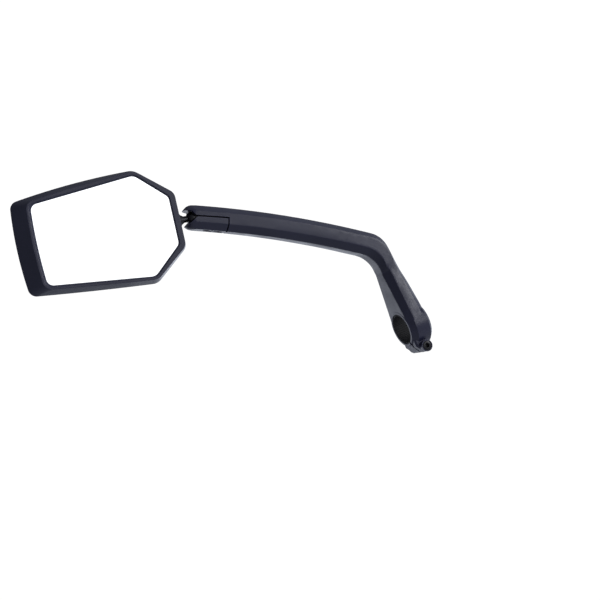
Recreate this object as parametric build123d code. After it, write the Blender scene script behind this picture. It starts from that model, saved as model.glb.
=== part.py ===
from build123d import *
import math
import os

# Bicycle mirror on a cranked arm that clamps round a 22.2 mm handlebar.
# Millimetres, +Z up. The origin is the centre of the bar clamp. +X runs along the bar, inboard.
# The arm lies in the XZ plane. The rider sits on the -Y side, and the glass faces that way.

# ---- driving dimensions ----
BAR_R = 11.1
LINER_T = 1.2
RING_R = 17.2
RING_X_OUTBOARD = -8.6
RING_X_INBOARD = 9.4
# Chamfers of the ring's two rims: width along the bar, depth.
RIM_OUTBOARD = (4.6, 3.4)
RIM_INBOARD = (2.4, 2.4)
SLIT_Y = -4.6
SLIT_WIDTH = 2.0
SLIT_TOP_Z = -5.0
BOLT_X = -0.6
BOLT_Z = -17.5
BOLT_R = 2.0
BOSS_R = 4.5
BOSS_FACE_Y = -15.0
BOLT_SEAT_DEPTH = 4.2
LUG_BACK_Y = -11.5
EAR_FRONT_Y = 8.0
NUT_DEPTH = 3.6
NUT_ACROSS = 7.0
NUT_T = 3.2
BOLT_HEAD_R = 3.5
BOLT_HEAD_T = 3.6
BOLT_SEAT_R = 3.75
BOLT_CLEARANCE = 0.3
BOLT_DRIVE = 3.0
WASHER_R = 3.6
WASHER_T = 0.75
LINER_INSET = 0.4

BALL_X = -131.3
BALL_Z = 136.9
ARM_END_DEG = 24.0
ARM_TURN_DEG = 9.2
ARM_RADIUS = 817.0
ARM_HEIGHT = 17.5
RISER_TOP_X = 4.9
RISER_TOP_Z = 54.9
RISER_LEAN = 0.122
RISER_INNER_X = -9.2
ELBOW_OUTER_R = 20.0
ELBOW_INNER_R = 22.0
HALF_T_ELBOW = 11.9
HALF_T_BALL = 8.6
UPPER_RIDGE = 4.3
LOWER_RIDGE = 4.8
CHAMFER_T = 6.4
EDGE_R = 0.5
# How far the upper ridge stands in from the widest line, and how much wider the underside is.
UPPER_RIDGE_INSET = 0.3
UNDERSIDE_EXTRA = 0.4

BALL_R = 5.25
CUP_T = 0.8
FIT = 0.05
SEAT_FIT = 0.09
NOSE_R = 9.4
MOUTH_SETBACK = 1.2
LIP_START = 3.0
LIP_HEIGHT = 4.2
LIP_RISE = 1.8
# Bevelled nose: its flat front, and the shoulders above and below where the bevels start.
NOSE_FRONT = 8.0
NOSE_SHOULDER = (4.4, 8.9)
NOSE_FLAT = (4.0, -5.0)
CAP_LENGTH = 24.0
SEAM = 1.1
CAP_SCREW_SETBACKS = (10.5, 19.5)
CAP_SCREW_R = 1.5
CAP_HEAD_R = 2.7
CAP_HEAD_T = 2.2
CAP_SEAT = -4.8
CAP_SCREW_END = 4.6
CAP_DRIVE = 2.5
INSERT_R = 2.1
INSERT_END = 5.2
# Pair of grip grooves across the cap, between its screws.
GROOVE_SHIFT = 1.1
GROOVE_HALF_WIDTH = 0.45
GROOVE_HALF_LENGTH = 4.0
GROOVE_DEPTH = 0.7
# The cap's locating rib stands in both seams and closes them: half its width, and its clearance.
RIB_HALF_WIDTH = 2.6
RIB_GAP = 0.12

HEAD_DEG = 9.9
PARTING_Y = 0.0
RIM_Y = -9.6
GLASS_Y = -8.0
GLASS_T = 2.0
PAD_T = 0.6
CARRIER_T = 1.8
BACK_Y = 12.5
PANEL_INSET = 2.6
PANEL_DEPTH = 0.5
WALL = 2.0
STUD_R = 2.75
NECK_R = 2.4
STUD_END = 24.0
COLLAR_START = 8.4
COLLAR_R = 3.3
BUSH_R = 4.3
BUSH_START = 9.65
BUSH_END = 17.0
FLANGE_R = 5.0
FLANGE_START = 12.2
FLANGE_END = 13.8
SADDLE_START = 10.2
SADDLE_END = 16.4
SADDLE_HALF_WIDTH = 7.5
SADDLE_FRONT_Y = -5.2
STUD_NUT_ACROSS = 8.0
STUD_NUT_T = 4.0
STUD_WASHER_R = 4.4
STUD_WASHER_T = 0.9

# Half outlines of the head: (distance from the ball, half height) at the stud end, apex and far end.
GLASS_OPENING = ((17.3, 17.2), (39.1, 36.4), (115.2, 28.2))
INNER_RIM = ((16.5, 17.6), (38.8, 37.5), (117.2, 29.4))
FRONT_RIM = ((12.6, 19.4), (37.8, 39.2), (118.4, 30.6))
WIDEST = ((9.6, 20.0), (36.2, 41.5), (127.4, 33.0))
BACK_FACE = ((19.0, 14.0), (41.0, 32.0), (113.0, 24.0))
# How far the far end, the upper side and the lower side bow outwards.
GLASS_BOW = (1.1, 0.0, 0.0)
RIM_BOW = (1.5, 1.0, 0.3)
WIDEST_BOW = (2.0, 2.0, 0.5)
# Corner radii at the stud end, the apexes and the far end.
GLASS_CORNERS = (5.0, 7.0, 5.0)
OUTER_CORNERS = (7.0, 10.0, 6.2)
INNER_CORNERS = (5.5, 8.5, 4.8)
LUG_R = 3.6
LUG_DEPTH = 3.2
POST_R = 3.4
PILOT_R = 1.1
SCREW_HOLE_R = 1.5
SCREW_SEAT_R = 2.8
SCREW_SEAT_DEPTH = 3.4
SCREW_HEAD_R = 2.6
SCREW_HEAD_T = 1.8
SCREW_TIP_Y = -2.8
CROSS_HALF_LENGTH = 1.5
CROSS_HALF_WIDTH = 0.35
CROSS_DEPTH = 0.7
BACK_EDGE_R = 3.0
STIFFENER_PLACES = (55, 80)
STIFFENER_HALF_T = 0.6
STIFFENER_HEIGHT = 3.0
# How far each layer reaches past the glass opening.
POCKET_GROW = 1.5
GLASS_GROW = 1.2
CARRIER_GROW = 1.0
PAD_GROW = 0.4
HOUSING_SCREWS = ((30.0, 15.0), (30.0, -15.0), (107.0, 17.5), (107.0, -17.5))

# Longer than any cut through the arm or the head needs to be.
THROUGH = 60.0
LINER_R = BAR_R + LINER_T
CUP_R = BALL_R + FIT + CUP_T
CAVITY_R = CUP_R + SEAT_FIT

END_RAD = math.radians(ARM_END_DEG)
CURVE_X = BALL_X - ARM_RADIUS * math.sin(END_RAD)
CURVE_Z = BALL_Z - ARM_RADIUS * math.cos(END_RAD)
HEAD_RAD = math.radians(HEAD_DEG)

# Arm-end frame: x out of the socket's mouth, y up across the arm, z forward.
ARM_END = Plane(
    origin=(BALL_X, 0, BALL_Z),
    x_dir=(-math.cos(END_RAD), 0, math.sin(END_RAD)),
    z_dir=(0, 1, 0),
)
# Head frame: x from the ball out along the head, y up across it, z forward, away from the rider.
HEAD = Plane(
    origin=(BALL_X, 0, BALL_Z),
    x_dir=(-math.cos(HEAD_RAD), 0, math.sin(HEAD_RAD)),
    z_dir=(0, 1, 0),
)


def rod(radius, start, end, axis="X", at=(0, 0)):
    """Cylinder from start to end along a local axis; at gives its place on the other two."""
    length = end - start
    middle = (start + end) / 2
    if axis == "X":
        return Pos(middle, at[0], at[1]) * Rot(0, 90, 0) * Cylinder(radius, length)
    if axis == "Y":
        return Pos(at[0], middle, at[1]) * Rot(90, 0, 0) * Cylinder(radius, length)
    return Pos(at[0], at[1], middle) * Cylinder(radius, length)


def block(low, high):
    """Box between two corners."""
    size = [high[i] - low[i] for i in range(3)]
    middle = [(high[i] + low[i]) / 2 for i in range(3)]
    return Pos(*middle) * Box(*size)


def hex_rod(across_flats, start, end):
    """Hexagonal prism along local X."""
    profile = RegularPolygon(across_flats / math.sqrt(3), 6)
    return Pos(start, 0, 0) * Rot(0, 90, 0) * extrude(profile, end - start)


def along_y(solid):
    """Turn a solid built along X so that it runs along Y."""
    return Rot(0, 0, 90) * solid


# ---- arm ----
def arm_point(angle_deg, offset):
    """Point on the arm's long gentle arc, offset across it."""
    a = math.radians(angle_deg)
    r = ARM_RADIUS + offset
    return (CURVE_X + r * math.sin(a), CURVE_Z + r * math.cos(a))


def elbow_arc(start, start_deg, riser_x, radius, steps):
    """Points of the arc that joins the arm's edge to a riser side, from the arm downwards.

    start is where the arm's straight tangent leaves, start_deg its fall, and riser_x gives the
    riser side's x at a height.
    """
    fall = math.radians(start_deg)
    lean = math.atan(riser_x(0.0) - riser_x(1.0))
    corner_z = start[1]
    for _ in range(60):
        corner_x = riser_x(corner_z)
        corner_z = start[1] - (corner_x - start[0]) * math.tan(fall)
    turn = math.pi / 2 - fall - lean
    setback = radius * math.tan(turn / 2)
    tangent_x = corner_x - setback * math.cos(fall)
    tangent_z = corner_z + setback * math.sin(fall)
    centre_x = tangent_x - radius * math.sin(fall)
    centre_z = tangent_z - radius * math.cos(fall)
    points = []
    for i in range(steps + 1):
        a = fall + turn * i / steps
        points.append((centre_x + radius * math.sin(a), centre_z + radius * math.cos(a)))
    return points


def outer_riser_x(z):
    return RISER_TOP_X - (z - RISER_TOP_Z) * RISER_LEAN


def inner_riser_x(_z):
    return RISER_INNER_X


def section(outer, inner, half_t, chamfer):
    """Faceted cross-section between an outer and an inner point of the arm's plane."""
    height = math.hypot(outer[0] - inner[0], outer[1] - inner[1])

    def at(depth, t):
        k = depth / height
        return (outer[0] + (inner[0] - outer[0]) * k, t, outer[1] + (inner[1] - outer[1]) * k)

    flat = half_t - chamfer
    low = height - LOWER_RIDGE
    right = [at(0, flat), at(UPPER_RIDGE, half_t - UPPER_RIDGE_INSET)]
    right += [at(low, half_t), at(height, flat + UNDERSIDE_EXTRA)]
    left = [(p[0], -p[1], p[2]) for p in reversed(right)]
    face = make_face(Polyline(*right, *left, close=True))
    return fillet(face.vertices(), EDGE_R)


def arm_blank():
    """Arm and riser as one smooth faceted bar, from past the ball down to the clamp."""
    half = ARM_HEIGHT / 2
    sections = []
    arm_steps = 7
    beyond_ball = -0.8
    elbow_deg = ARM_END_DEG + ARM_TURN_DEG
    for i in range(arm_steps + 1):
        k = i / arm_steps
        angle = ARM_END_DEG + beyond_ball + (ARM_TURN_DEG - beyond_ball) * k
        half_t = HALF_T_BALL + (HALF_T_ELBOW - HALF_T_BALL) * k
        chamfer = CHAMFER_T * half_t / HALF_T_ELBOW
        sections.append(section(arm_point(angle, half), arm_point(angle, -half), half_t, chamfer))
    elbow_steps = 5
    outer = elbow_arc(arm_point(elbow_deg, half), elbow_deg, outer_riser_x, ELBOW_OUTER_R, elbow_steps)
    inner = elbow_arc(arm_point(elbow_deg, -half), elbow_deg, inner_riser_x, ELBOW_INNER_R, elbow_steps)
    for o, i in zip(outer, inner):
        sections.append(section(o, i, HALF_T_ELBOW, CHAMFER_T))
    flare_top = 45.0
    flare_end = 2.3
    flare_half_t = 17.0
    low_chamfer = 3.8
    tuck = 0.45
    riser_half_t = HALF_T_ELBOW - 0.4
    riser_steps = 5
    for i in range(riser_steps + 1):
        k = i / riser_steps
        z = flare_top + (flare_end - flare_top) * k
        half_t = riser_half_t + (flare_half_t - riser_half_t) * k
        chamfer = CHAMFER_T + (low_chamfer - CHAMFER_T) * k
        outer_x = outer_riser_x(z) + (RING_X_INBOARD - tuck - outer_riser_x(flare_end)) * k * k
        inner_x = RISER_INNER_X + (RING_X_OUTBOARD + tuck - RISER_INNER_X) * k
        sections.append(section((outer_x, z), (inner_x, z), half_t, chamfer))
    return loft(sections)


def clamp_ring():
    """Split clamp ring with chamfered rims and the two bolt ears below it."""
    left = RING_X_OUTBOARD
    right = RING_X_INBOARD
    outline = Polyline(
        (left, 0),
        (left, RING_R - RIM_OUTBOARD[1]),
        (left + RIM_OUTBOARD[0], RING_R),
        (right - RIM_INBOARD[0], RING_R),
        (right, RING_R - RIM_INBOARD[1]),
        (right, 0),
        close=True,
    )
    ring = revolve(Plane.XY * make_face(outline), Axis.X)
    boss = rod(BOSS_R, BOSS_FACE_Y, EAR_FRONT_Y, "Y", (BOLT_X, BOLT_Z))
    # The lug fills the corner between the ring and the boss.
    step = 0.3
    lug_left = left + 1.2
    side = BOLT_X + BOSS_R - step
    foot = BOLT_Z - BOSS_R + step
    shoulder = -15.5
    top = -9.0
    foot_left = BOLT_X - 2.2
    corner = 1.6
    profile = Polyline(
        (lug_left, top),
        (lug_left, shoulder),
        (foot_left, foot),
        (BOLT_X + corner, foot),
        (side, BOLT_Z - corner),
        (side, top),
        close=True,
    )
    lug_front_y = EAR_FRONT_Y - 2 * step
    lug = extrude(make_face(Plane.XZ * profile), lug_front_y - LUG_BACK_Y)
    lug = Pos(0, lug_front_y, 0) * lug
    back_edges = lug.edges().filter_by(lambda e: abs(e.center().Y - LUG_BACK_Y) < 0.01)
    back_chamfer = 1.2
    lug = chamfer(back_edges, back_chamfer)
    return ring + boss + lug


def socket_envelope():
    """Everything the arm's nose may fill: behind the ball, or within the bevelled, rounded nose."""
    reach = 60.0
    behind = block((-400, -200, -reach), (0, 200, reach))
    shoulder_x, shoulder_y = NOSE_SHOULDER
    bevel = Polyline(
        (-40, -reach),
        (-40, reach),
        (shoulder_x, reach),
        (shoulder_x, shoulder_y),
        (NOSE_FRONT, NOSE_FLAT[0]),
        (NOSE_FRONT, NOSE_FLAT[1]),
        (shoulder_x, -shoulder_y),
        (shoulder_x, -reach),
        close=True,
    )
    wedge = Pos(0, 0, -reach) * extrude(make_face(bevel), 2 * reach)
    return ARM_END * ((behind + Sphere(NOSE_R)) & (behind + wedge))


def mouth_wedge():
    """Open mouth of the socket: a V behind the ball's centre, with a flatter lip above."""
    reach = 30.0
    profile = Polyline(
        (-MOUTH_SETBACK, 0),
        (LIP_START, LIP_HEIGHT),
        (reach, LIP_HEIGHT + LIP_RISE),
        (reach, -reach - MOUTH_SETBACK),
        close=True,
    )
    return ARM_END * Pos(0, 0, -reach) * extrude(make_face(profile), 2 * reach)


def slit():
    """Gap under the bar that lets the ring and its liner close."""
    return block((-THROUGH, SLIT_Y - SLIT_WIDTH, -THROUGH), (THROUGH, SLIT_Y, SLIT_TOP_Z))


def cap_region(grow):
    """Space of the clamp cap under the socket, widened by grow at its two seams."""
    return ARM_END * block((-CAP_LENGTH - grow, -THROUGH, -THROUGH), (THROUGH, grow, THROUGH))


def screw_hole(radius, start, end, setback):
    """Cylinder across the arm's end, at a setback behind the ball."""
    return ARM_END * rod(radius, start, end, "Y", (-setback, 0))


def arm_beam():
    nose = arm_blank() & socket_envelope()
    body = nose + clamp_ring()
    body -= rod(LINER_R, -THROUGH, THROUGH)
    body -= slit()
    body -= rod(BOLT_R + BOLT_CLEARANCE, -THROUGH, THROUGH, "Y", (BOLT_X, BOLT_Z))
    body -= rod(BOLT_SEAT_R, -THROUGH, BOSS_FACE_Y + BOLT_SEAT_DEPTH, "Y", (BOLT_X, BOLT_Z))
    nut_pocket = along_y(hex_rod(NUT_ACROSS + 2 * FIT, EAR_FRONT_Y - NUT_DEPTH, THROUGH))
    body -= Pos(BOLT_X, 0, BOLT_Z) * nut_pocket
    body -= mouth_wedge()
    body -= cap_region(SEAM)
    body -= ARM_END * Sphere(CAVITY_R)
    for setback in CAP_SCREW_SETBACKS:
        body -= screw_hole(INSERT_R, 0, INSERT_END, setback)
    return body


def socket_cap():
    blank = arm_blank() & socket_envelope()
    rib_low = (-CAP_LENGTH - SEAM + RIB_GAP, -THROUGH, -RIB_HALF_WIDTH)
    rib_high = (THROUGH, SEAM - RIB_GAP, RIB_HALF_WIDTH)
    cap = blank & (cap_region(0) + ARM_END * block(rib_low, rib_high))
    cap -= mouth_wedge()
    cap -= ARM_END * Sphere(CAVITY_R)
    for setback in CAP_SCREW_SETBACKS:
        cap -= screw_hole(CAP_SCREW_R + 2 * FIT, -THROUGH, INSERT_END, setback)
        cap -= screw_hole(CAP_HEAD_R + 3 * FIT, -THROUGH, CAP_SEAT, setback)
    middle = sum(CAP_SCREW_SETBACKS) / 2
    groove_top = GROOVE_DEPTH - ARM_HEIGHT / 2
    for at in (middle - GROOVE_SHIFT, middle + GROOVE_SHIFT):
        low = (-at - GROOVE_HALF_WIDTH, -THROUGH, -GROOVE_HALF_LENGTH)
        high = (-at + GROOVE_HALF_WIDTH, groove_top, GROOVE_HALF_LENGTH)
        cap -= ARM_END * block(low, high)
    return cap


def cap_screws():
    """Two socket-head screws that squeeze the cap against the ball cups."""
    screws = []
    drive_depth = 1.4
    for setback in CAP_SCREW_SETBACKS:
        screw = screw_hole(CAP_HEAD_R, CAP_SEAT - CAP_HEAD_T, CAP_SEAT, setback)
        screw += screw_hole(CAP_SCREW_R, CAP_SEAT, CAP_SCREW_END, setback)
        drive = Pos(-setback, CAP_SEAT - CAP_HEAD_T, 0) * along_y(hex_rod(CAP_DRIVE, -1, drive_depth))
        screws.append(screw - ARM_END * drive)
    return Compound(children=screws)


def cap_inserts():
    """Two threaded brass inserts in the arm, round the cap screws."""
    inserts = []
    for setback in CAP_SCREW_SETBACKS:
        outer = screw_hole(INSERT_R, SEAM + 2 * FIT, INSERT_END, setback)
        inserts.append(outer - screw_hole(CAP_SCREW_R, -THROUGH, THROUGH, setback))
    return Compound(children=inserts)


# ---- bar clamp hardware ----
def clamp_liner():
    """Split rubber sleeve between the ring and the bar."""
    start = RING_X_OUTBOARD + LINER_INSET
    end = RING_X_INBOARD - LINER_INSET
    sleeve = rod(LINER_R, start, end) - rod(BAR_R, -THROUGH, THROUGH)
    return sleeve - slit()


def clamp_bolt():
    seat_y = BOSS_FACE_Y + BOLT_SEAT_DEPTH
    rim = 0.4
    tip_setback = 0.6
    drive_floor = 1.4
    head_back = seat_y - WASHER_T - FIT
    head = rod(BOLT_HEAD_R, head_back - BOLT_HEAD_T, head_back, "Y", (BOLT_X, BOLT_Z))
    head = chamfer(head.edges().group_by(Axis.Y)[0], rim)
    shank = rod(BOLT_R, head_back, EAR_FRONT_Y - tip_setback, "Y", (BOLT_X, BOLT_Z))
    recess = hex_rod(BOLT_DRIVE, head_back - 2 * BOLT_HEAD_T, head_back - drive_floor)
    drive = Pos(BOLT_X, 0, BOLT_Z) * along_y(recess)
    return head + shank - drive


def clamp_washer():
    seat_y = BOSS_FACE_Y + BOLT_SEAT_DEPTH
    outer = rod(WASHER_R, seat_y - WASHER_T, seat_y, "Y", (BOLT_X, BOLT_Z))
    return outer - rod(BOLT_R + 2 * FIT, -THROUGH, THROUGH, "Y", (BOLT_X, BOLT_Z))


def clamp_nut():
    start = EAR_FRONT_Y - NUT_DEPTH
    nut = Pos(BOLT_X, 0, BOLT_Z) * along_y(hex_rod(NUT_ACROSS, start, start + NUT_T))
    return nut - rod(BOLT_R + FIT, -THROUGH, THROUGH, "Y", (BOLT_X, BOLT_Z))


# ---- ball joint ----
def ball_cup(upper):
    """Nylon half cup round the ball, open towards the mouth."""
    shell = Sphere(CUP_R) - Sphere(BALL_R + FIT)
    gap = 0.3
    half = block((-THROUGH, gap, -THROUGH), (THROUGH, THROUGH, THROUGH))
    if not upper:
        half = block((-THROUGH, -THROUGH, -THROUGH), (THROUGH, -gap, THROUGH))
    cup = ARM_END * (shell & half)
    return cup - mouth_wedge()


def ball_stud():
    """Ball, neck, shank with a collar, and a threaded end inside the head."""
    stud = Sphere(BALL_R)
    neck_end = 7.6
    collar_gap = 0.3
    tip = 0.5
    stud += rod(NECK_R, 0, neck_end)
    stud += rod(STUD_R, neck_end, STUD_END - tip)
    stud += rod(COLLAR_R, COLLAR_START, BUSH_START - collar_gap)
    stud += rod(STUD_R - tip, STUD_END - tip, STUD_END)
    return HEAD * stud


def stud_nut():
    start = BUSH_END + 1.3
    nut = hex_rod(STUD_NUT_ACROSS, start, start + STUD_NUT_T) - rod(STUD_R, 0, THROUGH)
    return HEAD * nut


def stud_washer():
    start = BUSH_END + 2 * FIT
    washer = rod(STUD_WASHER_R, start, start + STUD_WASHER_T) - rod(STUD_R + 2 * FIT, 0, THROUGH)
    return HEAD * washer


def stud_bushing():
    """Flanged sleeve held between the bezel and the housing; the stud turns in it."""
    bush = rod(BUSH_R, BUSH_START, BUSH_END) + rod(FLANGE_R, FLANGE_START, FLANGE_END)
    return HEAD * (bush - rod(STUD_R + FIT, 0, THROUGH))


# ---- mirror head ----
def outline(half_points, bow, corners, grow=0.0):
    """Hexagon face with bowed sides and rounded corners; grow moves every side outwards."""
    (x0, h0), (x1, h1), (x2, h2) = half_points
    far, upper, lower = bow
    middle = (x1 + x2) / 2
    height = (h1 + h2) / 2
    edges = [
        Line((x0, h0), (x0, -h0)),
        Line((x0, -h0), (x1, -h1)),
        side_curve((x1, -h1), (middle, -height - lower), (x2, -h2), lower),
        side_curve((x2, -h2), (x2 + far, 0), (x2, h2), far),
        side_curve((x2, h2), (middle, height + upper), (x1, h1), upper),
        Line((x1, h1), (x0, h0)),
    ]
    face = make_face(Wire(edges))
    if grow:
        face = make_face(offset(face.face().outer_wire(), grow, kind=Kind.INTERSECTION))
    by_x = face.vertices().sort_by(Axis.X)
    groups = (by_x[:2], by_x[2:4], by_x[4:])
    for index, radius in enumerate(corners):
        face = fillet(pick(face.vertices(), groups[index]), radius)
    return face


def pick(vertices, wanted):
    """The vertices of a face that lie where the wanted ones do."""
    places = [v.center() for v in wanted]
    return [v for v in vertices if min((v.center() - p).length for p in places) < 0.001]


def side_curve(start, middle, end, bow):
    """Straight side, or an arc where it bows."""
    if bow == 0:
        return Line(start, end)
    return ThreePointArc(start, middle, end)


def between(low_outline, low_y, high_outline, high_y):
    """Solid that blends one outline into another across the head's depth."""
    return loft([Pos(0, 0, low_y) * low_outline, Pos(0, 0, high_y) * high_outline], ruled=True)


def glass_outline(grow):
    return outline(GLASS_OPENING, GLASS_BOW, GLASS_CORNERS, grow)


def stud_saddle(y_low, y_high):
    """Block inside the head's end wall that cradles half of the bushing."""
    return block((SADDLE_START, -SADDLE_HALF_WIDTH, y_low), (SADDLE_END, SADDLE_HALF_WIDTH, y_high))


def cut_for_bushing(solid):
    end_gap = 0.2
    cut = rod(BUSH_R, 0, BUSH_END + end_gap) + rod(FLANGE_R, FLANGE_START, FLANGE_END)
    return solid - cut


def head_front():
    """Solid front half of the head, from the rim back to the widest outline."""
    rim = outline(FRONT_RIM, RIM_BOW, OUTER_CORNERS)
    return between(rim, RIM_Y, outline(WIDEST, WIDEST_BOW, OUTER_CORNERS), PARTING_Y)


def bezel():
    """Front frame: sloping outer wall, lip over the glass edge and four screw lugs."""
    envelope = head_front()
    flare = between(outline(INNER_RIM, GLASS_BOW, GLASS_CORNERS), RIM_Y - 0.01, glass_outline(0), GLASS_Y)
    solid = envelope - flare
    solid -= extrude(Pos(0, 0, GLASS_Y) * glass_outline(POCKET_GROW), THROUGH)
    for x, y in HOUSING_SCREWS:
        side = 1 if y > 0 else -1
        wall_y = y + side * THROUGH / 2
        lug = rod(LUG_R, -LUG_DEPTH, PARTING_Y, "Z", (x, y))
        arm = block((x - LUG_R, min(y, wall_y), -LUG_DEPTH), (x + LUG_R, max(y, wall_y), PARTING_Y))
        solid += (lug + arm) & envelope
    solid += stud_saddle(SADDLE_FRONT_Y, PARTING_Y) & envelope
    for x, y in HOUSING_SCREWS:
        solid -= rod(PILOT_R, -THROUGH, THROUGH, "Z", (x, y))
    return HEAD * cut_for_bushing(solid)


def rear_housing():
    """Rear shell with four screw posts, a saddle for the bushing and stiffening ribs."""
    widest = outline(WIDEST, WIDEST_BOW, OUTER_CORNERS)
    back = outline(BACK_FACE, RIM_BOW, OUTER_CORNERS)
    shell = between(widest, PARTING_Y, back, BACK_Y)
    shell = fillet(shell.edges().filter_by(lambda e: e.center().Z > BACK_Y - 0.01), BACK_EDGE_R)
    envelope = shell
    inner_low = outline(WIDEST, WIDEST_BOW, INNER_CORNERS, -WALL)
    draft = 0.4
    inner_high = outline(BACK_FACE, RIM_BOW, INNER_CORNERS, draft - WALL)
    shell -= between(inner_low, PARTING_Y - 0.01, inner_high, BACK_Y - WALL)
    in_wall = BACK_Y - WALL / 2
    for x, y in HOUSING_SCREWS:
        shell += rod(POST_R, PARTING_Y, in_wall, "Z", (x, y)) & envelope
    shell += stud_saddle(PARTING_Y, in_wall) & envelope
    rib_y = BACK_Y - WALL - STIFFENER_HEIGHT
    reach = THROUGH / 2
    for x in STIFFENER_PLACES:
        rib = block((x - STIFFENER_HALF_T, -reach, rib_y), (x + STIFFENER_HALF_T, reach, in_wall))
        shell += rib & envelope
    for x, y in HOUSING_SCREWS:
        shell -= rod(SCREW_HOLE_R, -THROUGH, THROUGH, "Z", (x, y))
        shell -= rod(SCREW_SEAT_R, BACK_Y - SCREW_SEAT_DEPTH, THROUGH, "Z", (x, y))
    panel = outline(BACK_FACE, RIM_BOW, INNER_CORNERS, -PANEL_INSET)
    shell -= extrude(Pos(0, 0, BACK_Y - PANEL_DEPTH) * panel, WALL)
    return HEAD * cut_for_bushing(shell)


def housing_screws():
    """Four self-tapping screws that hold the two shells together."""
    screws = []
    seat_y = BACK_Y - SCREW_SEAT_DEPTH
    floor_y = seat_y + SCREW_HEAD_T - CROSS_DEPTH
    long = CROSS_HALF_LENGTH
    thin = CROSS_HALF_WIDTH
    for x, y in HOUSING_SCREWS:
        head = rod(SCREW_HEAD_R, seat_y, seat_y + SCREW_HEAD_T, "Z", (x, y))
        shank = rod(PILOT_R, SCREW_TIP_Y, seat_y, "Z", (x, y))
        upright = block((x - thin, y - long, floor_y), (x + thin, y + long, BACK_Y))
        cross = block((x - long, y - thin, floor_y), (x + long, y + thin, BACK_Y))
        screws.append(HEAD * (head + shank - upright - cross))
    return Compound(children=screws)


def mirror_glass():
    return HEAD * extrude(Pos(0, 0, GLASS_Y) * glass_outline(GLASS_GROW), GLASS_T)


def glass_pad():
    """Foam adhesive sheet between the glass and its carrier."""
    return HEAD * extrude(Pos(0, 0, GLASS_Y + GLASS_T) * glass_outline(PAD_GROW), PAD_T)


def glass_carrier():
    """Stiff plate behind the glass, cut away round the stud's nut."""
    start = GLASS_Y + GLASS_T + PAD_T
    plate = extrude(Pos(0, 0, start) * glass_outline(CARRIER_GROW), CARRIER_T)
    cut_end = STUD_END + 3.0
    cut_half = 8.2
    return HEAD * (plate - block((0, -cut_half, -THROUGH), (cut_end, cut_half, THROUGH)))


PARTS = {
    "arm_beam": arm_beam,
    "socket_cap": socket_cap,
    "cap_screws": cap_screws,
    "cap_inserts": cap_inserts,
    "clamp_liner": clamp_liner,
    "clamp_bolt": clamp_bolt,
    "clamp_washer": clamp_washer,
    "clamp_nut": clamp_nut,
    "upper_ball_cup": lambda: ball_cup(True),
    "lower_ball_cup": lambda: ball_cup(False),
    "ball_stud": ball_stud,
    "stud_nut": stud_nut,
    "stud_washer": stud_washer,
    "stud_bushing": stud_bushing,
    "bezel": bezel,
    "rear_housing": rear_housing,
    "housing_screws": housing_screws,
    "mirror_glass": mirror_glass,
    "glass_pad": glass_pad,
    "glass_carrier": glass_carrier,
}

os.makedirs("parts", exist_ok=True)
for node, make in PARTS.items():
    export_step(make(), f"parts/{node}.step")
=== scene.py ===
import bmesh
import bpy
import math
from mathutils import Matrix, Vector


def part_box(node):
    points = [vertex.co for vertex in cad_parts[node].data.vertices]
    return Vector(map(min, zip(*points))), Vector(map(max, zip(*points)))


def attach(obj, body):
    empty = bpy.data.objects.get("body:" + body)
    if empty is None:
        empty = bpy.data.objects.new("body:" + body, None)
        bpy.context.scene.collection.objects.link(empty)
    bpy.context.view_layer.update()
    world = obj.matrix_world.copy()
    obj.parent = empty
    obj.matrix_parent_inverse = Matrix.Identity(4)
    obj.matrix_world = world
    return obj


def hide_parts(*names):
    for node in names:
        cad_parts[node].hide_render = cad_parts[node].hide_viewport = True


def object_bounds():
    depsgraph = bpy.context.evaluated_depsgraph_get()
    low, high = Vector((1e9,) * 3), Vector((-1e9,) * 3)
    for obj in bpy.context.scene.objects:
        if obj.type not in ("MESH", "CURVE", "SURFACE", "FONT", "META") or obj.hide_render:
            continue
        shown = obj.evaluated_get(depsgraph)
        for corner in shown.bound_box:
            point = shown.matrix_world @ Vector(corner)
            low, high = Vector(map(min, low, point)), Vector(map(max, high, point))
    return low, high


# Bicycle mirror on a cranked arm. Metres, in the CAD frame: +X inboard along the bar, +Z up,
# and the glass faces the rider on -Y.
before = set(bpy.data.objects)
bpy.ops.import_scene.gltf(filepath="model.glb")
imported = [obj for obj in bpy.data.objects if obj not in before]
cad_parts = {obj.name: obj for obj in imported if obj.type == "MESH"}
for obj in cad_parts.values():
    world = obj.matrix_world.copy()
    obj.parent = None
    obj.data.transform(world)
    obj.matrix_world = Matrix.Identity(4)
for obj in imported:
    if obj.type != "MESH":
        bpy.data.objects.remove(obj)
cad_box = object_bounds()

MM = 0.001
SHARP_ANGLE = math.radians(32.0)
WELD_DISTANCE = 2e-6


# ---- small helpers ----
def node_tree_material(name):
    """New node material and its Principled shader."""
    material = bpy.data.materials.new(name)
    material.use_nodes = True
    return material, material.node_tree, material.node_tree.nodes["Principled BSDF"]


def add(tree, kind, **settings):
    """Add a shader node and set its attributes."""
    node = tree.nodes.new(kind)
    for key, value in settings.items():
        setattr(node, key, value)
    return node


def noise(tree, vector, scale, detail=3.0, roughness=0.55):
    """Value of a noise texture over the given coordinates; scale is in cells per metre."""
    node = add(tree, "ShaderNodeTexNoise")
    node.inputs["Scale"].default_value = scale
    node.inputs["Detail"].default_value = detail
    node.inputs["Roughness"].default_value = roughness
    tree.links.new(vector, node.inputs["Vector"])
    return node.outputs["Fac"]


def remap(tree, value, low, high, start=0.3, end=0.7):
    """Map a 0-1 pattern to a range of numbers."""
    node = add(tree, "ShaderNodeMapRange")
    node.inputs["From Min"].default_value = start
    node.inputs["From Max"].default_value = end
    node.inputs["To Min"].default_value = low
    node.inputs["To Max"].default_value = high
    tree.links.new(value, node.inputs["Value"])
    return node.outputs["Result"]


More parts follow.
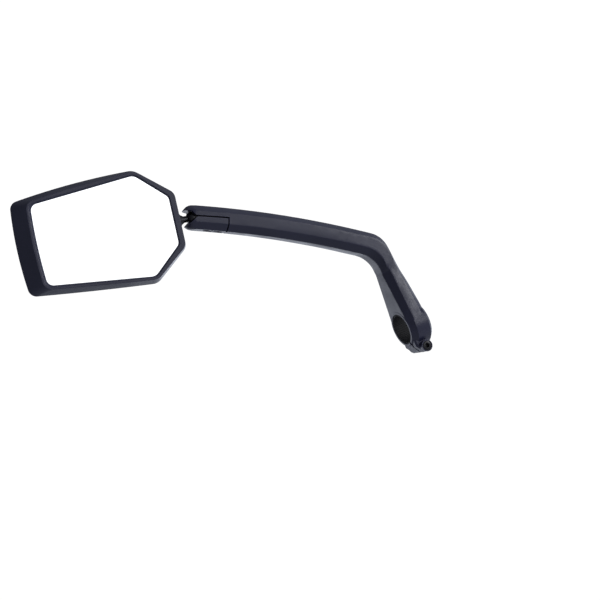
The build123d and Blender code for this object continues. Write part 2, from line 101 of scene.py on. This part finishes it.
def colour_ramp(tree, value, stops):
    """Colour from a 0-1 pattern; stops are (position, (r, g, b))."""
    node = add(tree, "ShaderNodeValToRGB")
    ramp = node.color_ramp
    while len(ramp.elements) < len(stops):
        ramp.elements.new(0.5)
    for element, (position, rgb) in zip(ramp.elements, stops):
        element.position = position
        element.color = (*rgb, 1.0)
    tree.links.new(value, node.inputs["Fac"])
    return node.outputs["Color"]


def bump(tree, height, distance, strength, normal=None):
    """Bump node; returns its normal output."""
    node = add(tree, "ShaderNodeBump")
    node.inputs["Distance"].default_value = distance
    node.inputs["Strength"].default_value = strength
    tree.links.new(height, node.inputs["Height"])
    if normal is not None:
        tree.links.new(normal, node.inputs["Normal"])
    return node.outputs["Normal"]


def product(tree, first, second):
    """Product of two values."""
    node = add(tree, "ShaderNodeMath", operation="MULTIPLY")
    tree.links.new(first, node.inputs[0])
    tree.links.new(second, node.inputs[1])
    return node.outputs[0]


# ---- materials ----
# Scales are in cells per metre. Bump distances and radii are in metres.
# Lighter edges on the moulded plastic: painted highlight where edges catch light, partly rubbing wear.
HIGHLIT_WORN_EDGE_RADIUS = 0.6 * MM
HIGHLIT_RUBBED_GAIN = 2.6
HIGHLIT_RUBBED_LIFT = 0.01
PLASTIC_IOR = 1.48
LINER_RIBS = 48.0

# Sockets of a Mix node that mixes colours.
MIX_FIRST = 6
MIX_SECOND = 7
MIX_RESULT = 2


def highlit_worn_edges(tree, place, body, highlit_rubbed_colour):
    """Body colour turning lighter along edges, in uneven stretches: a painted highlight where the edges
    catch light, partly rubbing wear.
    """
    rounded = add(tree, "ShaderNodeBevel", samples=4)
    rounded.inputs["Radius"].default_value = HIGHLIT_WORN_EDGE_RADIUS
    surface = add(tree, "ShaderNodeNewGeometry")
    turn = add(tree, "ShaderNodeVectorMath", operation="DOT_PRODUCT")
    tree.links.new(rounded.outputs["Normal"], turn.inputs[0])
    tree.links.new(surface.outputs["Normal"], turn.inputs[1])
    edge = remap(tree, turn.outputs["Value"], low=0.75, high=0.0, start=0.86, end=0.995)
    patches = noise(tree, place, scale=140.0, detail=3.0, roughness=0.6)
    patchy = remap(tree, patches, low=0.25, high=1.0, start=0.35, end=0.65)
    mix = add(tree, "ShaderNodeMix", data_type="RGBA")
    tree.links.new(product(tree, edge, patchy), mix.inputs["Factor"])
    tree.links.new(body, mix.inputs[MIX_FIRST])
    mix.inputs[MIX_SECOND].default_value = (*highlit_rubbed_colour, 1.0)
    return mix.outputs[MIX_RESULT]


def moulded_plastic(name, dark, light, rough, grain_scale, grain_depth):
    """Moulded plastic: fine spark-eroded grain, faint flow marks and slightly polished spots."""
    material, tree, shader = node_tree_material(name)
    place = add(tree, "ShaderNodeTexCoord").outputs["Object"]
    flow = noise(tree, place, scale=28.0, detail=4.0, roughness=0.6)
    body = colour_ramp(tree, flow, [(0.3, dark), (0.75, light)])
    highlit_rubbed_colour = tuple(HIGHLIT_RUBBED_GAIN * c + HIGHLIT_RUBBED_LIFT for c in light)
    # Edges lightened in patches: painted highlight, partly rubbing wear.
    tree.links.new(highlit_worn_edges(tree, place, body, highlit_rubbed_colour), shader.inputs["Base Color"])
    handled = noise(tree, place, scale=75.0, detail=3.0, roughness=0.5)
    polish = remap(tree, handled, low=rough - 0.05, high=rough + 0.07)
    tree.links.new(polish, shader.inputs["Roughness"])
    grain = noise(tree, place, grain_scale, detail=2.0, roughness=0.6)
    fine = bump(tree, grain, grain_depth, strength=0.55)
    marked = bump(tree, flow, distance=0.3 * MM, strength=0.10, normal=fine)
    tree.links.new(marked, shader.inputs["Normal"])
    shader.inputs["IOR"].default_value = PLASTIC_IOR
    return material


def metal(name, dark, light, rough, scratch_scale, metallic=1.0):
    """Turned, plated or blackened metal with fine machining marks and small rough patches."""
    material, tree, shader = node_tree_material(name)
    place = add(tree, "ShaderNodeTexCoord").outputs["Object"]
    patches = noise(tree, place, scale=240.0, detail=4.0, roughness=0.6)
    tree.links.new(colour_ramp(tree, patches, [(0.3, dark), (0.7, light)]), shader.inputs["Base Color"])
    polish = remap(tree, patches, low=rough - 0.06, high=rough + 0.10)
    tree.links.new(polish, shader.inputs["Roughness"])
    marks = noise(tree, place, scratch_scale, detail=2.0, roughness=0.5)
    scratched = bump(tree, marks, distance=0.04 * MM, strength=0.5)
    tree.links.new(scratched, shader.inputs["Normal"])
    shader.inputs["Metallic"].default_value = metallic
    return material


def rubber(name):
    """Matt rubber with a faint bloom, ribbed along the bar's length (the X axis)."""
    material, tree, shader = node_tree_material(name)
    place = add(tree, "ShaderNodeTexCoord").outputs["Object"]
    bloom = noise(tree, place, scale=160.0, detail=4.0, roughness=0.65)
    stops = [(0.3, (0.006, 0.006, 0.007)), (0.8, (0.020, 0.020, 0.022))]
    tree.links.new(colour_ramp(tree, bloom, stops), shader.inputs["Base Color"])
    tree.links.new(remap(tree, bloom, low=0.62, high=0.82), shader.inputs["Roughness"])
    split = add(tree, "ShaderNodeSeparateXYZ")
    tree.links.new(place, split.inputs[0])
    round_bar = add(tree, "ShaderNodeMath", operation="ARCTAN2")
    tree.links.new(split.outputs["Z"], round_bar.inputs[0])
    tree.links.new(split.outputs["Y"], round_bar.inputs[1])
    ribs = add(tree, "ShaderNodeMath", operation="MULTIPLY")
    tree.links.new(round_bar.outputs[0], ribs.inputs[0])
    ribs.inputs[1].default_value = LINER_RIBS
    wave = add(tree, "ShaderNodeMath", operation="SINE")
    tree.links.new(ribs.outputs[0], wave.inputs[0])
    ribbed = bump(tree, wave.outputs[0], distance=0.15 * MM, strength=0.7)
    grain = noise(tree, place, scale=2600.0)
    surface = bump(tree, grain, distance=0.05 * MM, strength=0.6, normal=ribbed)
    tree.links.new(surface, shader.inputs["Normal"])
    return material


def silvered_glass():
    """First-quality mirror: almost perfectly smooth, with a trace of haze from cleaning."""
    material, tree, shader = node_tree_material("silvered_glass")
    place = add(tree, "ShaderNodeTexCoord").outputs["Object"]
    haze = noise(tree, place, scale=22.0, detail=5.0, roughness=0.6)
    stops = [(0.3, (0.90, 0.915, 0.925)), (0.8, (0.94, 0.945, 0.95))]
    tree.links.new(colour_ramp(tree, haze, stops), shader.inputs["Base Color"])
    tree.links.new(remap(tree, haze, low=0.004, high=0.022), shader.inputs["Roughness"])
    shader.inputs["Metallic"].default_value = 1.0
    return material


ARM_PLASTIC = moulded_plastic(
    "arm_plastic_grained", dark=(0.018, 0.019, 0.043), light=(0.026, 0.027, 0.057),
    rough=0.34, grain_scale=1500.0, grain_depth=0.05 * MM,
)
HEAD_PLASTIC = moulded_plastic(
    "head_plastic_satin", dark=(0.018, 0.019, 0.042), light=(0.025, 0.026, 0.055),
    rough=0.34, grain_scale=1700.0, grain_depth=0.04 * MM,
)
NYLON = moulded_plastic(
    "cup_nylon_smooth", dark=(0.014, 0.014, 0.016), light=(0.026, 0.026, 0.030),
    rough=0.32, grain_scale=3600.0, grain_depth=0.01 * MM,
)
FOAM = moulded_plastic(
    "pad_foam_cells", dark=(0.03, 0.03, 0.032), light=(0.06, 0.06, 0.064),
    rough=0.85, grain_scale=1400.0, grain_depth=0.12 * MM,
)
BLACK_STEEL = metal(
    "black_oxide_steel", dark=(0.010, 0.010, 0.011), light=(0.030, 0.030, 0.032),
    rough=0.30, scratch_scale=1800.0, metallic=0.6,
)
STUD_METAL = metal(
    "black_zinc_stud", dark=(0.030, 0.030, 0.032), light=(0.085, 0.085, 0.09),
    rough=0.26, scratch_scale=2400.0,
)
ZINC = metal(
    "zinc_plated_steel", dark=(0.42, 0.43, 0.45), light=(0.62, 0.63, 0.65),
    rough=0.30, scratch_scale=2000.0,
)
BRASS = metal(
    "turned_brass", dark=(0.55, 0.38, 0.15), light=(0.78, 0.58, 0.28),
    rough=0.28, scratch_scale=2400.0,
)
RUBBER = rubber("liner_rubber_matt")
GLASS = silvered_glass()

NODE_MATERIALS = {
    "arm_beam": ARM_PLASTIC,
    "socket_cap": ARM_PLASTIC,
    "cap_screws": BLACK_STEEL,
    "cap_inserts": BRASS,
    "clamp_liner": RUBBER,
    "clamp_bolt": BLACK_STEEL,
    "clamp_washer": ZINC,
    "clamp_nut": ZINC,
    "upper_ball_cup": NYLON,
    "lower_ball_cup": NYLON,
    "ball_stud": STUD_METAL,
    "stud_nut": ZINC,
    "stud_washer": ZINC,
    "stud_bushing": NYLON,
    "bezel": HEAD_PLASTIC,
    "rear_housing": HEAD_PLASTIC,
    "housing_screws": BLACK_STEEL,
    "mirror_glass": GLASS,
    "glass_pad": FOAM,
    "glass_carrier": NYLON,
}

# Bevel width of the nodes whose edges are rounded here, in millimetres.
EDGE_WIDTHS = {
    "bezel": 0.35,
    "rear_housing": 0.35,
    "clamp_nut": 0.15,
    "cap_screws": 0.12,
    "stud_nut": 0.15,
}
EDGE_SEGMENTS = 3
BIG_FACE_WEIGHT = 80


# ---- smooth shading for the CAD nodes ----
def smooth_by_angle_group():
    """Geometry node group: weld the CAD faces, then shade smooth except across sharp edges."""
    group = bpy.data.node_groups.new("smooth_by_angle", "GeometryNodeTree")
    group.interface.new_socket("Geometry", in_out="INPUT", socket_type="NodeSocketGeometry")
    group.interface.new_socket("Geometry", in_out="OUTPUT", socket_type="NodeSocketGeometry")
    start = group.nodes.new("NodeGroupInput")
    end = group.nodes.new("NodeGroupOutput")
    weld = group.nodes.new("GeometryNodeMergeByDistance")
    weld.inputs["Distance"].default_value = WELD_DISTANCE
    faces = group.nodes.new("GeometryNodeSetShadeSmooth")
    faces.domain = "FACE"
    edges = group.nodes.new("GeometryNodeSetShadeSmooth")
    edges.domain = "EDGE"
    edges.inputs["Shade Smooth"].default_value = False
    angle = group.nodes.new("GeometryNodeInputMeshEdgeAngle")
    sharp = group.nodes.new("FunctionNodeCompare")
    sharp.data_type = "FLOAT"
    sharp.operation = "GREATER_THAN"
    sharp.inputs["B"].default_value = SHARP_ANGLE
    link = group.links.new
    link(start.outputs[0], weld.inputs["Geometry"])
    link(weld.outputs[0], faces.inputs["Geometry"])
    link(faces.outputs[0], edges.inputs["Geometry"])
    link(angle.outputs["Unsigned Angle"], sharp.inputs["A"])
    link(sharp.outputs["Result"], edges.inputs["Selection"])
    link(edges.outputs[0], end.inputs[0])
    return group


SMOOTH_GROUP = smooth_by_angle_group()


def dress_node(name, material):
    """Give a CAD node its material, rounded edges if it is to have them, and smooth shading."""
    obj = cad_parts[name]
    obj.data.materials.clear()
    obj.data.materials.append(material)
    width = EDGE_WIDTHS.get(name)
    if width:
        weld = obj.modifiers.new("weld", "WELD")
        weld.merge_threshold = WELD_DISTANCE
        bevel = obj.modifiers.new("edge_radius", "BEVEL")
        bevel.width = width * MM
        bevel.segments = EDGE_SEGMENTS
        bevel.limit_method = "ANGLE"
        bevel.angle_limit = SHARP_ANGLE
    modifier = obj.modifiers.new("smooth_by_angle", "NODES")
    modifier.node_group = SMOOTH_GROUP
    if width:
        weighted = obj.modifiers.new("weighted_normals", "WEIGHTED_NORMAL")
        weighted.keep_sharp = True
        weighted.weight = BIG_FACE_WEIGHT


for node_name, node_material in NODE_MATERIALS.items():
    dress_node(node_name, node_material)


# ---- clamp bolt ----
# In millimetres, except for counts, and FLANK_REACH in quarter pitches from the crest's middle. The
# head's front faces the rider, at the low end of Y.
BOLT_SIDES = 72
BOLT_HEAD_LENGTH = 3.6
BOLT_HEAD_RADIUS = 3.5
HEX_ACROSS = 3.0
RECESS_DEPTH = 2.2
RECESS_CHAMFER_DEPTH = 0.25
RECESS_CHAMFER_WIDTH = 0.22
FRONT_ROUNDING = ((0.0, 0.45), (0.12, 0.15), (0.45, 0.02))
KNURL_TEETH = 24
KNURL_DEPTH = 0.045
KNURL_START = 0.6
KNURL_MIDDLE = 1.8
KNURL_END_GAP = 0.4
BACK_ROUNDING = ((0.1, 0.06), (0.0, 0.2))
THREAD_PITCH = 0.7
THREAD_ROOT = 1.68
THREAD_CREST = 2.0
THREAD_END_GAP = 0.5
FLANK_REACH = 1.35
ROWS_PER_TURN = 8
TIP_CHAMFER = 0.15


def round_row(radius):
    """Row of the bolt's skin with one radius at every angle."""
    return lambda angle: radius


def hexagon_row(widening):
    """Row of the bolt's skin along the hexagon recess, made wider by an amount."""
    sixth = math.pi / 3
    return lambda angle: HEX_ACROSS / 2 / math.cos(angle % sixth - sixth / 2) + widening


def knurled_row(angle):
    """Radius of the knurled head at an angle."""
    return BOLT_HEAD_RADIUS - KNURL_DEPTH + KNURL_DEPTH * math.cos(KNURL_TEETH * angle)


def thread_row(y):
    """Row of the bolt's skin across the helical thread at a place along its length."""
    def radius(angle):
        turn = (y / THREAD_PITCH - angle / (2 * math.pi)) % 1.0
        quarters_from_crest = abs(4 * turn - 2)
        ramp = min(1.0, max(0.0, FLANK_REACH - quarters_from_crest))
        return THREAD_ROOT + (THREAD_CREST - THREAD_ROOT) * ramp
    return radius


def bolt_rows(front_y, back_y):
    """Rows of the bolt's skin from the recess floor to the tip: (y, radius at an angle)."""
    under_head = front_y + BOLT_HEAD_LENGTH
    rows = [
        (front_y + RECESS_DEPTH, hexagon_row(0.0)),
        (front_y + RECESS_CHAMFER_DEPTH, hexagon_row(0.0)),
        (front_y, hexagon_row(RECESS_CHAMFER_WIDTH)),
    ]
    for depth, inset in FRONT_ROUNDING:
        rows.append((front_y + depth, round_row(BOLT_HEAD_RADIUS - inset)))
    for y in (front_y + KNURL_START, front_y + KNURL_MIDDLE, under_head - KNURL_END_GAP):
        rows.append((y, knurled_row))
    for gap, inset in BACK_ROUNDING:
        rows.append((under_head - gap, round_row(BOLT_HEAD_RADIUS - inset)))
    rows.append((under_head, round_row(THREAD_CREST)))
    y = under_head + THREAD_END_GAP
    while y < back_y - THREAD_END_GAP:
        rows.append((y, thread_row(y)))
        y += THREAD_PITCH / ROWS_PER_TURN
    rows.append((back_y, round_row(THREAD_ROOT - TIP_CHAMFER)))
    return rows


def make_clamp_bolt():
    """Socket-head clamp bolt with a hexagon recess, knurled head and rolled thread."""
    low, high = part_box("clamp_bolt")
    centre_x = (low.x + high.x) / 2
    centre_z = (low.z + high.z) / 2
    rows = bolt_rows(low.y / MM, high.y / MM)
    vertices = []
    for y, radius_at in rows:
        for k in range(BOLT_SIDES):
            angle = 2 * math.pi * k / BOLT_SIDES
            r = radius_at(angle) * MM
            vertices.append((centre_x + r * math.cos(angle), y * MM, centre_z + r * math.sin(angle)))
    faces = []
    for row in range(len(rows) - 1):
        for k in range(BOLT_SIDES):
            here = row * BOLT_SIDES + k
            beside = row * BOLT_SIDES + (k + 1) % BOLT_SIDES
            faces.append((here, beside, beside + BOLT_SIDES, here + BOLT_SIDES))
    last = (len(rows) - 1) * BOLT_SIDES
    faces.append(tuple(reversed(range(BOLT_SIDES))))
    faces.append(tuple(last + k for k in range(BOLT_SIDES)))
    mesh = bpy.data.meshes.new("threaded_clamp_bolt")
    mesh.from_pydata(vertices, [], faces)
    mesh.update()
    fix = bmesh.new()
    fix.from_mesh(mesh)
    bmesh.ops.recalc_face_normals(fix, faces=fix.faces)
    fix.to_mesh(mesh)
    fix.free()
    mesh.materials.append(BLACK_STEEL)
    bolt = bpy.data.objects.new("threaded_clamp_bolt", mesh)
    bpy.context.scene.collection.objects.link(bolt)
    bolt.modifiers.new("smooth_by_angle", "NODES").node_group = SMOOTH_GROUP
    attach(bolt, "clamp_bolt")
    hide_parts("clamp_bolt")


make_clamp_bolt()


# ---- camera ----
CAMERA_AT = Vector((-0.4411, -0.8957, 0.1038))
CAMERA_AZIMUTH = math.radians(-22.1)
CAMERA_ELEVATION = math.radians(3.1)
CAMERA_ROLL = math.radians(21.9)
# Lens and sensor in millimetres.
CAMERA_LENS = 78.0
CAMERA_SENSOR = 36.0


def make_camera():
    """Camera at the photograph's viewing angle, rolled as the picture is."""
    az, el, roll = CAMERA_AZIMUTH, CAMERA_ELEVATION, CAMERA_ROLL
    back = Vector((math.sin(az) * math.cos(el), -math.cos(az) * math.cos(el), math.sin(el)))
    level_right = Vector((math.cos(az), math.sin(az), 0))
    level_up = back.cross(level_right)
    right = math.cos(roll) * level_right - math.sin(roll) * level_up
    up = math.sin(roll) * level_right + math.cos(roll) * level_up
    data = bpy.data.cameras.new("camera")
    data.lens = CAMERA_LENS
    data.sensor_width = CAMERA_SENSOR
    camera = bpy.data.objects.new("camera", data)
    turn = Matrix((right, up, back)).transposed().to_4x4()
    camera.matrix_world = Matrix.Translation(CAMERA_AT) @ turn
    bpy.context.scene.collection.objects.link(camera)
    bpy.context.scene.camera = camera


# ---- studio ----
HEAD_CENTRE = (-0.205, 0.0, 0.149)
FLOOR_SIZE = 30.0
FLOOR_DROP = 0.30
WHITE_STRENGTH = 1.05

# Regions of the surroundings, by one component of the direction: where each starts to count, and
# where it counts in full. The rider looks along +Y.
BEHIND_Y = (0.30, 0.90)
NOT_HIGH_Z = (0.14, -0.16)
NOT_LOW_Z = (-0.65, -0.20)
RIGHT_X = (-0.10, 0.90)
ABOVE_Z = (0.45, 1.0)
BELOW_Z = (-0.10, -0.80)
HIGH_Z = (0.08, 0.34)
HIGH_BEHIND_Y = (0.20, 0.75)
PANELS_Y = (-0.10, -0.60)

# Strength of the surroundings everywhere, and what each region adds to it.
STRENGTH_EVERYWHERE = 0.23
BACKDROP_ADDS = 1.30
BEHIND_ADDS = 0.05
RIGHT_ADDS = 0.28
ABOVE_ADDS = -0.04
BELOW_ADDS = 0.14
HIGH_BEHIND_ADDS = -0.21
PANELS_ADD = 0.14

SURROUNDINGS_COLOUR = (0.84, 0.885, 1.0, 1)

# The panels are a sine wave across a slanting direction: radians per unit of Z and X, and its phase.
PANEL_WAVE_Z = 26.0
PANEL_WAVE_X = 15.0
PANEL_PHASE = 0.9


def softbox(name, at, look_at, size, brightness, colour=(1, 1, 1)):
    """Rectangular area light whose power grows with its size, so its face keeps its brightness."""
    data = bpy.data.lights.new(name, "AREA")
    data.shape = "RECTANGLE"
    data.size, data.size_y = size
    data.energy = brightness * math.pi * size[0] * size[1]
    data.color = colour
    light = bpy.data.objects.new(name, data)
    aim = Vector(look_at) - Vector(at)
    light.matrix_world = Matrix.Translation(at) @ aim.to_track_quat("-Z", "Y").to_matrix().to_4x4()
    bpy.context.scene.collection.objects.link(light)


def make_floor():
    """Floor well below the object, white to the camera from above and clear to all other rays."""
    bpy.ops.mesh.primitive_plane_add(size=FLOOR_SIZE, location=(0, 0, cad_box[0][2] - FLOOR_DROP))
    floor = bpy.context.object
    floor.name = "floor"
    material = bpy.data.materials.new("floor_white")
    material.use_nodes = True
    tree = material.node_tree
    tree.nodes.clear()
    place = add(tree, "ShaderNodeTexCoord").outputs["Object"]
    pale = add(tree, "ShaderNodeEmission")
    stops = [(0.2, (0.995, 0.995, 0.995)), (0.8, (1.0, 1.0, 1.0))]
    tree.links.new(colour_ramp(tree, noise(tree, place, scale=3.0), stops), pale.inputs["Color"])
    pale.inputs["Strength"].default_value = WHITE_STRENGTH
    clear = add(tree, "ShaderNodeBsdfTransparent")
    rays = add(tree, "ShaderNodeLightPath")
    side = add(tree, "ShaderNodeNewGeometry")
    upper_side = add(tree, "ShaderNodeMath", operation="SUBTRACT")
    upper_side.inputs[0].default_value = 1.0
    tree.links.new(side.outputs["Backfacing"], upper_side.inputs[1])
    mix = add(tree, "ShaderNodeMixShader")
    out = add(tree, "ShaderNodeOutputMaterial")
    tree.links.new(product(tree, rays.outputs["Is Camera Ray"], upper_side.outputs[0]), mix.inputs[0])
    tree.links.new(clear.outputs[0], mix.inputs[1])
    tree.links.new(pale.outputs[0], mix.inputs[2])
    tree.links.new(mix.outputs[0], out.inputs["Surface"])
    floor.data.materials.append(material)


def smooth_step(tree, value, start, end):
    """0 to 1 with soft ends as the value goes from start to end."""
    node = add(tree, "ShaderNodeMapRange", interpolation_type="SMOOTHSTEP")
    node.inputs["From Min"].default_value = start
    node.inputs["From Max"].default_value = end
    tree.links.new(value, node.inputs["Value"])
    return node.outputs["Result"]


def scaled_sum(tree, terms, offset):
    """offset plus each value times its factor."""
    total = None
    for value, factor in terms:
        node = add(tree, "ShaderNodeMath", operation="MULTIPLY_ADD")
        tree.links.new(value, node.inputs[0])
        node.inputs[1].default_value = factor
        if total is None:
            node.inputs[2].default_value = offset
        else:
            tree.links.new(total, node.inputs[2])
        total = node.outputs[0]
    return total


def panelled(tree, split, strength):
    """Strength of the surroundings with soft panels in front, which the glass reflects as gradients."""
    slope = [(split.outputs["Z"], PANEL_WAVE_Z), (split.outputs["X"], PANEL_WAVE_X)]
    slant = scaled_sum(tree, slope, PANEL_PHASE)
    wave = add(tree, "ShaderNodeMath", operation="SINE")
    tree.links.new(slant, wave.inputs[0])
    front = smooth_step(tree, split.outputs["Y"], *PANELS_Y)
    panels = product(tree, wave.outputs[0], front)
    return scaled_sum(tree, [(strength, 1.0), (panels, PANELS_ADD)], 0.0)


def make_world():
    """White to the camera. The object reflects a backdrop behind it, panels in front and dim sides."""
    world = bpy.data.worlds.new("studio")
    world.use_nodes = True
    tree = world.node_tree
    tree.nodes.clear()
    seen = add(tree, "ShaderNodeBackground")
    seen.inputs["Color"].default_value = (1, 1, 1, 1)
    seen.inputs["Strength"].default_value = WHITE_STRENGTH
    around = add(tree, "ShaderNodeBackground")
    place = add(tree, "ShaderNodeTexCoord").outputs["Generated"]
    split = add(tree, "ShaderNodeSeparateXYZ")
    tree.links.new(place, split.inputs[0])
    behind = smooth_step(tree, split.outputs["Y"], *BEHIND_Y)
    not_high = smooth_step(tree, split.outputs["Z"], *NOT_HIGH_Z)
    not_low = smooth_step(tree, split.outputs["Z"], *NOT_LOW_Z)
    backdrop = product(tree, behind, product(tree, not_high, not_low))
    right = smooth_step(tree, split.outputs["X"], *RIGHT_X)
    above = smooth_step(tree, split.outputs["Z"], *ABOVE_Z)
    below = smooth_step(tree, split.outputs["Z"], *BELOW_Z)
    high = smooth_step(tree, split.outputs["Z"], *HIGH_Z)
    high_behind = product(tree, smooth_step(tree, split.outputs["Y"], *HIGH_BEHIND_Y), high)
    terms = [(backdrop, BACKDROP_ADDS), (behind, BEHIND_ADDS), (right, RIGHT_ADDS)]
    terms += [(above, ABOVE_ADDS), (below, BELOW_ADDS), (high_behind, HIGH_BEHIND_ADDS)]
    strength = scaled_sum(tree, terms, STRENGTH_EVERYWHERE)
    around.inputs["Color"].default_value = SURROUNDINGS_COLOUR
    tree.links.new(panelled(tree, split, strength), around.inputs["Strength"])
    rays = add(tree, "ShaderNodeLightPath")
    mix = add(tree, "ShaderNodeMixShader")
    out = add(tree, "ShaderNodeOutputWorld")
    tree.links.new(rays.outputs["Is Camera Ray"], mix.inputs[0])
    tree.links.new(around.outputs[0], mix.inputs[1])
    tree.links.new(seen.outputs[0], mix.inputs[2])
    tree.links.new(mix.outputs[0], out.inputs["Surface"])
    bpy.context.scene.world = world


make_camera()
make_floor()
make_world()
softbox("mirror_card", at=(0.19, -1.50, 0.22), look_at=HEAD_CENTRE, size=(0.62, 0.50), brightness=1.25)
softbox(
    "key_right", at=(1.10, -1.12, 0.26), look_at=(0.0, 0.0, 0.05), size=(0.75, 0.60),
    brightness=6.6, colour=(0.95, 0.96, 1.0),
)
softbox(
    "top", at=(-0.2, 0.2, 1.3), look_at=(-0.1, 0, 0.1), size=(1.2, 0.8),
    brightness=0.12, colour=(0.96, 0.97, 1.0),
)
bpy.context.scene.view_settings.view_transform = "Standard"
